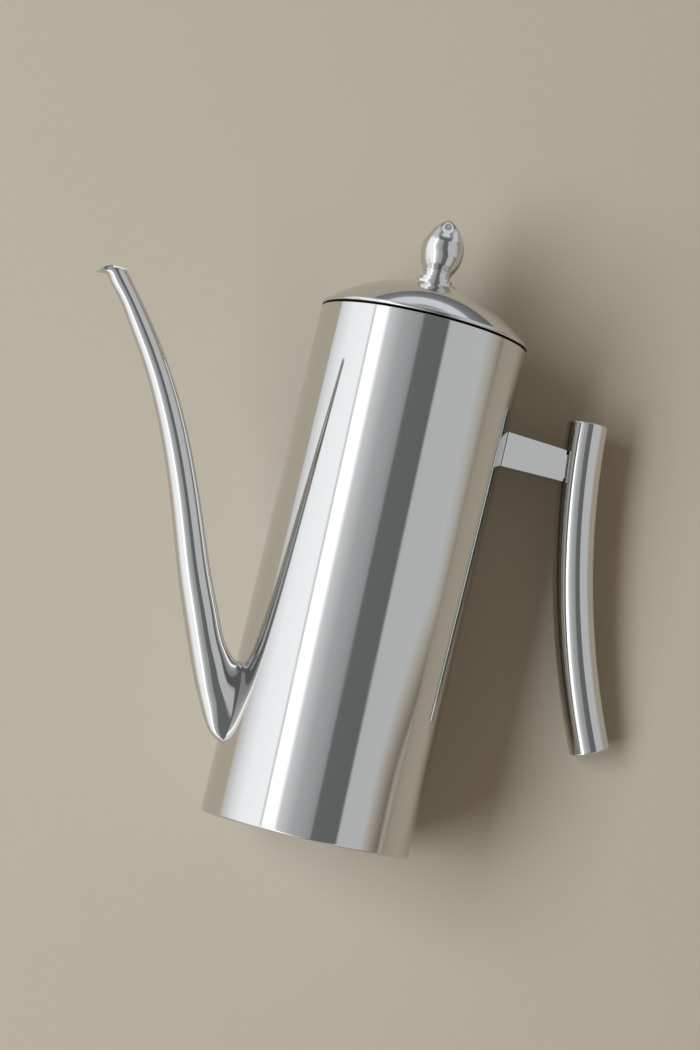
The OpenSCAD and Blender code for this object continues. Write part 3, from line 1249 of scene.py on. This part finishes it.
    def stub(self) -> bpy.types.Mesh:
        """Builds the stub: a flat-faced box on a narrower core that meets the body and the grip.

        Returns:
            The mesh.
        """
        surface = Surface()
        left, right = Vector((-1, 0, 0)), Vector((1, 0, 0))
        for start, end, inset in zip(Step, list(Step)[1:], (self.groove_depth, 0.0, self.groove_depth)):
            surface.add_grid([self.stub_ring(start, inset), self.stub_ring(end, inset)])
        for step, way in ((Step.BOX_START, left), (Step.BOX_END, right)):
            surface.add_band([self.stub_ring(step, inset) for inset in (self.groove_depth, 0.0)], way)
        for step, way in ((Step.BODY, left), (Step.GRIP, right)):
            surface.add_face([(p, way) for p, _ in self.stub_ring(step, self.groove_depth)[:-1]])
        return surface.mesh("stub_skin")

    def build(self, finishes: Finishes) -> None:
        """Adds the grip, its caps and the stub.

        Args:
            finishes: the kettle's materials.
        """
        top = self.cap_mesh("cap_top_skin", self.top, self.start, False)
        bottom = self.cap_mesh("cap_bottom_skin", self.bottom, self.end, True)
        place_piece("grip_tube", self.tube(), (finishes.sheet,), Body.KETTLE, "handle_tube")
        place_piece("grip_cap_top", top, (finishes.turned,), Body.KETTLE, "handle_cap_top")
        place_piece("grip_cap_bottom", bottom, (finishes.turned,), Body.KETTLE, "handle_cap_bottom")
        place_piece("grip_stub", self.stub(), (finishes.sheet,), Body.KETTLE, "handle_stub")


@dataclass
class Lid:
    """The domed lid with its rolled edge, vent and skirt, in millimetres.

    Attributes:
        vessel: the body whose rim it rests on.
        radius: outside radius of the rolled edge.
        seat: gap between the rolled edge and the rim.
        bead: radius of the rolled edge.
        curl: radius of the edge's lower side, which leaves a gap over the rim, darkened further with
            painted shade.
        seat_radius: where the edge's sloping underside meets the rim, inside that gap.
        rise: height of the dome above its edge.
        wall: sheet thickness of the dome.
        skirt_radius: outside radius of the skirt.
        skirt_wall: sheet thickness of the skirt.
        skirt_depth: depth of the skirt below the rim.
        vent_radius: radius of the steam vent.
        vent_reach: distance of the vent from the axis.
        vent_angle: direction of the vent, in degrees.
        vent_past: how far the vent's cutter reaches past the dome, up and down.
        vent_steps: number of faces round the vent.
        hole: radius of the hole for the knob's screw.
        spring: inset and height where the dome leaves the rolled edge, in bead radii.
    """

    vessel: Vessel
    radius: float = 45.2
    seat: float = 0.1
    bead: float = 1.4
    curl: float = 0.6
    seat_radius: float = 43.4
    rise: float = 17.6
    wall: float = 0.8
    skirt_radius: float = 42.9
    skirt_wall: float = 0.6
    skirt_depth: float = 12.0
    vent_radius: float = 1.1
    vent_reach: float = 19.5
    vent_angle: float = 200.0
    vent_past: float = 3.0
    vent_steps: int = 24
    hole: float = 2.2
    spring: Flat = (0.4, 0.8)

    def __post_init__(self) -> None:
        """Works out the dome's sphere."""
        self.bead_z = self.vessel.height + self.seat + self.bead
        self.base_z = self.bead_z + self.spring[1] * self.bead
        self.edge = self.radius - self.spring[0] * self.bead
        self.sphere = (self.edge**2 + self.rise**2) / (2 * self.rise)
        self.middle = self.base_z + self.rise - self.sphere
        self.apex = self.middle + self.sphere

    def dome_z(self, radius: float, inset: float = 0.0) -> float:
        """Gives the height of the dome's face at a distance from the axis."""
        return self.middle + math.sqrt((self.sphere - inset) ** 2 - radius**2)

    def dome(self) -> bpy.types.Mesh:
        """Builds the dome with its rolled edge and the vent.

        Returns:
            The mesh.
        """
        under = self.sphere - self.wall
        bead_r = self.radius - self.bead
        start = math.degrees(math.atan2(self.base_z - self.bead_z, self.edge - bead_r))
        flank = self.skirt_radius + FIT
        ends = ((self.edge, self.sphere), (self.hole, self.sphere), (self.hole, under), (flank, under))
        edge, hole, hole_under, inner = [math.degrees(math.asin(reach / ball)) for reach, ball in ends]
        outline = Outline().arc((self.radius - self.curl, self.bead_z), self.curl, -90, 0, steps=10)
        outline.arc((bead_r, self.bead_z), self.bead, 0, start, steps=10)
        outline.arc((0, self.middle), self.sphere, 90 - edge, 90 - hole, steps=60)
        outline.line((self.hole, self.dome_z(self.hole)), (self.hole, self.dome_z(self.hole, self.wall)))
        outline.arc((0, self.middle), under, 90 - hole_under, 90 - inner, steps=60)
        foot, ledge = self.vessel.height + self.seat, self.bead_z - self.curl
        outline.line((flank, self.dome_z(flank, self.wall)), (flank, foot), (self.seat_radius, foot))
        outline.line((self.seat_radius, foot), (self.radius - self.curl, ledge))
        mesh = outline.turned().mesh("dome_skin")
        turns = full_turn(self.vent_steps)
        vent = [(self.vent_radius * math.cos(t), self.vent_radius * math.sin(t)) for t in turns]
        way = math.radians(self.vent_angle)
        reach = Vector((math.cos(way), math.sin(way), 0)) * self.vent_reach
        low_end = Vector((0, 0, self.dome_z(self.vent_reach) - self.vent_past))
        return bored(mesh, vent, Matrix.Translation((reach + low_end) * MM), 2 * self.vent_past)

    def skirt(self) -> bpy.types.Mesh:
        """Builds the locating ring under the dome.

        Returns:
            The mesh.
        """
        outer, inner = self.skirt_radius, self.skirt_radius - self.skirt_wall
        low = self.vessel.height - self.skirt_depth
        high_out, high_in = (self.dome_z(radius, self.wall + FIT) for radius in (outer, inner))
        corners = [(inner, low), (outer, low), (outer, high_out), (inner, high_in)]
        return Outline().line(*corners, corners[0]).turned().mesh("skirt_skin")

    def build(self, finishes: Finishes) -> None:
        """Adds the dome and the skirt.

        Args:
            finishes: the kettle's materials.
        """
        dome, skirt = self.dome(), self.skirt()
        # Painted shade: the low, downward faces in the gap over the rim take a near-black steel in place of
        # the gap's shadow.
        painted_shade_top, under_dome = (self.bead_z - 0.9 * self.curl) * MM, self.base_z * MM
        painted_shade_slope, under_slope = -0.1, -0.3

        def pick(centre: Vector, normal: Vector) -> int:
            """Tells the sheet, the dome's underside and the painted shade in the gap over the rim apart.

            Args:
                centre: centre of a face.
                normal: its normal.

            Returns:
                0 for the sheet, 1 for the underside and 2 for the painted shade in the gap.
            """
            if centre.z < painted_shade_top and normal.z < painted_shade_slope:
                return 2
            return int(normal.z < under_slope and centre.z > under_dome)

        pick_finishes(dome, pick)
        skins = (finishes.sheet, finishes.inside, finishes.scale)
        place_piece("lid_cover", dome, skins, Body.LID, "lid_dome")
        place_piece("lid_ring", skirt, (finishes.inside,), Body.LID, "lid_skirt")


@dataclass
class Knob:
    """The bud-shaped knob with its neck, collar and foot ring, in millimetres.

    Attributes:
        lid: the lid it stands on.
        bud_radius: largest radius of the bud.
        bud_height: height of the bud.
        neck_radius: radius of the neck.
        neck_height: height of the neck.
        collar_radius: radius of the collar.
        collar_height: height of the collar.
        foot_radius: radius of the foot ring.
        foot_height: height of the foot ring over the dome's top.
        foot_gap: how much wider the foot ring's hole is than the bore.
        soft: radius of the rounded edges.
        bore: radius of the screw's bore.
        bore_depth: depth of the bore.
        segments: number of faces round the knob.
    """

    lid: Lid
    bud_radius: float = 9.2
    bud_height: float = 23.8
    neck_radius: float = 5.9
    neck_height: float = 2.5
    collar_radius: float = 7.2
    collar_height: float = 2.0
    foot_radius: float = 9.0
    foot_height: float = 0.8
    foot_gap: float = 0.2
    soft: float = 0.25
    bore: float = 2.0
    bore_depth: float = 11.0
    segments: int = 128

    def bud(self) -> bpy.types.Mesh:
        """Builds the knob from its collar to the tip of the bud.

        Returns:
            The mesh.
        """
        low = self.lid.apex + self.foot_height
        collar = low + self.collar_height
        neck = collar + self.neck_height
        deep = low + self.bore_depth
        shares = [
            (0.7, 0.02), (0.85, 0.12), (0.945, 0.22), (0.99, 0.32), (1, 0.42), (0.98, 0.51), (0.92, 0.59),
            (0.825, 0.665), (0.71, 0.75), (0.57, 0.83), (0.42, 0.895), (0.27, 0.945), (0.12, 0.98), (0, 1),
        ]
        places = [(r * self.bud_radius, neck + z * self.bud_height) for r, z in shares]
        rim, shoulder = self.collar_radius - self.soft, collar - self.soft
        side, waist, foot = self.collar_radius, self.neck_radius, (places[0][0], neck)
        outline = Outline().line((self.bore, low), (side, low), (side, shoulder))
        outline.arc((rim, shoulder), self.soft, 0, 90, ROUND_STEPS)
        outline.line((rim, collar), (waist, collar), (waist, neck), foot, places[0])
        outline.curve(places)
        outline.line((0, deep), (self.bore, deep), (self.bore, low))
        return outline.turned(self.segments).mesh("knob_skin")

    def foot(self) -> bpy.types.Mesh:
        """Builds the thin ring between the knob and the dome.

        Returns:
            The mesh.
        """
        inner, outer, soft = self.bore + self.foot_gap, self.foot_radius, self.soft
        top = self.lid.apex + self.foot_height
        low_in, low_out = self.lid.dome_z(inner) + FIT, self.lid.dome_z(outer)
        outline = Outline().line((inner, low_in), (outer, low_out), (outer, top - soft))
        outline.arc((outer - soft, top - soft), soft, 0, 90, ROUND_STEPS)
        outline.line((outer - soft, top), (inner, top), (inner, low_in))
        return outline.turned(self.segments).mesh("foot_skin")

    def build(self, finishes: Finishes) -> None:
        """Adds the knob and its foot, and dresses the hardware under the dome.

        Args:
            finishes: the kettle's materials.
        """
        place_piece("knob_bud", self.bud(), (finishes.turned,), Body.LID, "knob")
        place_piece("knob_ring", self.foot(), (finishes.turned,), Body.LID, "knob_foot")
        for node in ("knob_washer", "knob_lock_washer", "knob_screw"):
            dress_node(node, finishes.hardware)
        dress_node("knob_gasket", finishes.rubber)


# ---- stage ----


@dataclass
class Studio:
    """Camera, board and soft light round the kettle.

    Attributes:
        turn: how far the kettle is rolled about its own axis from the camera's view, in degrees.
        camera: place of the camera before that roll, in millimetres.
        pitch: how far the camera looks up along the kettle, in degrees.
        roll: roll of the camera, in degrees.
        lens: focal length for a sensor whose long side is 36 mm, in millimetres.
        board_depth: distance of the board behind the body's axis, in millimetres.
        board_colour: linear colour of the board.
        key_azimuth: direction of the key lamp, from the camera's direction, in degrees.
        key_distance: distance of the key lamp, in metres.
        key_drop: how far the lamp hangs below the kettle's base, as a share of that distance.
        key_size: width and height of the key lamp, in metres.
        key_energy: power of the key lamp, in watts.
        key_colour: linear colour of the key lamp.
        fill_colour: light of the room on the board, in place of the panels.
        pale_colour: light of the panels overhead on both sides.
        backdrop_colour: colour seen past the board.
    """

    turn: float = 18.4
    camera: tuple[float, float, float] = (-11.458, -1085.84, 45.78)
    pitch: float = 4.538
    roll: float = 13.388
    lens: float = 87.70
    board_depth: float = 46.2
    board_colour: Colour = (0.605, 0.582, 0.52)
    key_azimuth: float = -41.0
    key_distance: float = 3.0
    key_drop: float = 0.12
    key_size: Flat = (1.3, 3.0)
    key_energy: float = 77.0
    key_colour: Colour = (1.0, 0.985, 0.95)
    fill_colour: Colour = (0.20, 0.148, 0.09)
    pale_colour: Colour = (0.66, 0.70, 0.74)
    backdrop_colour: Colour = (0.80, 0.79, 0.76)

    def __post_init__(self) -> None:
        """Works out the turn from the camera's view to the row frame."""
        self.row = Matrix.Rotation(math.radians(-self.turn), 4, "Z")

    def view_camera(self) -> None:
        """Adds the camera."""
        data = bpy.data.cameras.new("view")
        data.sensor_width = 36.0
        data.lens = self.lens
        data.clip_start = 0.05
        data.clip_end = 50.0
        item = add_object("view", data)
        up_tilt = Matrix.Rotation(math.radians(90 + self.pitch), 4, "X")
        roll = Matrix.Rotation(math.radians(self.roll), 4, "Z")
        place = Matrix.Translation(Vector(self.camera) * MM)
        item.matrix_world = self.row @ place @ up_tilt @ roll
        bpy.context.scene.camera = item

    def board(self) -> None:
        """Adds the pale board that the kettle lies on, seen from its front only.

        The near board shows in the polished steel and ends a little past the knob, and the surround
        only fills the picture beyond it.
        """
        edge = [(1.2, 0.31), (0.0, 0.33), (-0.086, 0.372), (-0.26, 0.39)]
        near = [(-0.26, -0.7), (1.2, -0.7), *edge]
        far = [(-1.2, 0.31), (-1.2, 1.2), (1.2, 1.2), *edge]
        finish = self.board_finish()
        for name, outline, in_steel in (("board", near, True), ("board_surround", far, False)):
            mesh = bpy.data.meshes.new(name)
            corners = [(x, self.board_depth * MM, z) for x, z in outline]
            mesh.from_pydata(corners, [], [tuple(range(len(corners)))])
            if mesh.polygons[0].normal.y > 0:
                mesh.flip_normals()
            mesh.transform(self.row)
            item = add_object(name, mesh)
            mesh.materials.append(finish)
            item.visible_glossy = in_steel

    def board_finish(self) -> bpy.types.Material:
        """Makes the board's material.

        Returns:
            The material.
        """
        material, nodes, shader = new_material("pale_board")
        nodes.fill(shader, {"Base Color": self.board_colour, "Roughness": 0.7})
        clear = nodes.add("ShaderNodeBsdfTransparent")
        back = nodes.add("ShaderNodeNewGeometry").outputs["Backfacing"]
        mix = nodes.add("ShaderNodeMixShader")
        for socket, value in zip(mix.inputs, (back, shader.outputs["BSDF"], clear.outputs["BSDF"])):
            nodes.link(value, socket)
        nodes.link(mix.outputs["Shader"], material.node_tree.nodes["Material Output"].inputs["Surface"])
        return material

    def key_light(self) -> None:
        """Adds the large soft lamp on the left that shades the board."""
        data = bpy.data.lights.new("key", "AREA")
        data.shape = "RECTANGLE"
        data.size, data.size_y = self.key_size
        data.energy = self.key_energy
        data.color = self.key_colour
        item = add_object("key", data)
        azimuth = math.radians(self.key_azimuth)
        place = Vector((math.sin(azimuth), -math.cos(azimuth), -self.key_drop)) * self.key_distance
        aim = place.to_track_quat("Z", "Y").to_matrix().to_4x4()
        item.matrix_world = self.row @ (Matrix.Translation(place) @ aim)
        item.visible_camera = False
        item.visible_glossy = False

    def ramp(self, nodes: Nodes, fac: bpy.types.NodeSocket, stops: Sequence[tuple]) -> bpy.types.NodeSocket:
        """Adds a colour ramp.

        Args:
            nodes: the tree to fill.
            fac: where the ramp is read.
            stops: place, level and tint of each stop.

        Returns:
            The ramp's colour.
        """
        ramp = nodes.add("ShaderNodeValToRGB")
        nodes.link(fac, ramp.inputs["Fac"])
        points = ramp.color_ramp.elements
        points.remove(points[-1])
        for k, (place, level, tint) in enumerate(stops):
            stop = points[0] if k == 0 else points.new(place)
            stop.position = place
            stop.color = (*[level * c for c in tint], 1)
        return ramp.outputs["Color"]

    def light(self) -> None:
        """Lights the scene with soft panels by direction, as seen from the kettle.

        Each side stop is an angle from the camera's direction, positive to its right, with a level and
        a tint. Each overhead stop is the sine of an angle above the level. The sides lean a little to
        the left higher up, and the bright window on the right is wider there. Straight ahead the
        overhead has its own panels, and it is evenly pale on both sides.
        """
        white, tan, cool = (0.97, 1.0, 1.03), (1.0, 0.93, 0.78), (0.95, 0.98, 1.06)
        sides = [
            (-180, 0.42, tan), (-125, 0.50, tan), (-112, 0.64, tan), (-106, 0.74, white),
            (-97, 0.95, white), (-82, 1.18, white), (-56, 1.24, white), (-54.6, 0.66, white),
            (-53.6, 0.66, white), (-52.6, 1.9, white), (-42, 1.9, white), (-36, 0.80, white),
            (-20, 0.50, white), (-6, 0.42, white), (0, 0.36, white), (2, 0.17, white),
            (29, 0.16, white), (30, 0.60, white), (57, 0.62, white), (66, 0.47, tan),
            (75, 0.28, tan), (80, 0.20, tan), (84, 0.46, tan), (96, 0.26, tan),
            (104, 0.36, tan), (112, 0.26, tan), (179, 0.42, tan),
        ]
        overhead = [
            (0.74, 0.16, white), (0.80, 0.17, white), (0.86, 0.24, white), (0.885, 0.30, cool),
            (0.90, 0.80, cool), (0.95, 0.82, cool), (0.965, 0.36, white), (0.99, 0.30, white),
            (1.0, 0.60, white),
        ]
        world = bpy.data.worlds.new("soft_panels")
        bpy.context.scene.world = world
        world.use_nodes = True
        nodes = Nodes(world.node_tree)
        background = world.node_tree.nodes["Background"]
        turned = nodes.add("ShaderNodeVectorRotate", rotation_type="Z_AXIS")
        way = nodes.add("ShaderNodeTexCoord").outputs["Generated"]
        nodes.fill(turned, {"Vector": way, "Angle": math.radians(self.turn)})
        parts = nodes.add("ShaderNodeSeparateXYZ")
        nodes.link(turned.outputs["Vector"], parts.inputs["Vector"])
        x, y, z = (parts.outputs[name] for name in "XYZ")
        angle = nodes.math("ARCTAN2", x, nodes.math("MULTIPLY", y, -1.0))
        lean = nodes.mapped(z, (-0.06, 0.19), (-0.105, 0.105))
        widen = nodes.mapped(z, (-0.01, 0.06), (0.0, 0.44))
        right = nodes.mapped(angle, (0.6, 1.5), (0.0, 1.0))
        leant = nodes.math("ADD", angle, lean)
        skewed = nodes.math("SUBTRACT", leant, nodes.math("MULTIPLY", widen, right))
        turn = nodes.mapped(skewed, (-math.pi, math.pi), (0.0, 1.0))
        around = self.ramp(nodes, turn, [((a + 180) / 360, level, tint) for a, level, tint in sides])
        ahead = self.ramp(nodes, z, overhead)
        beside = nodes.mapped(nodes.math("ABSOLUTE", x), (0.42, 0.56), (0.0, 1.0))
        above = nodes.mix(beside, ahead, self.pale_colour)
        sky = nodes.mix(nodes.mapped(z, (0.62, 0.74), (0.0, 1.0)), around, above)
        path = nodes.add("ShaderNodeLightPath")
        dim = nodes.mix(path.outputs["Is Diffuse Ray"], sky, self.fill_colour)
        seen = nodes.mix(path.outputs["Is Camera Ray"], dim, self.backdrop_colour)
        nodes.link(seen, background.inputs["Color"])

    def build(self) -> None:
        """Adds the camera, the board and the light, and sets the plain view."""
        self.view_camera()
        self.board()
        self.key_light()
        self.light()
        bpy.context.scene.view_settings.view_transform = "Standard"
        log.info("studio: camera, board and soft panels")


def main() -> None:
    """Builds the studio and then the kettle, piece by piece."""
    logging.basicConfig(level=logging.INFO, format="%(name)s %(message)s")
    Studio().build()
    finishes = Finishes()
    vessel = Vessel()
    vessel.build(finishes)
    Spout(vessel).build(finishes)
    Handle(vessel).build(finishes)
    lid = Lid(vessel)
    lid.build(finishes)
    Knob(lid).build(finishes)


if __name__ == "__main__":
    main()
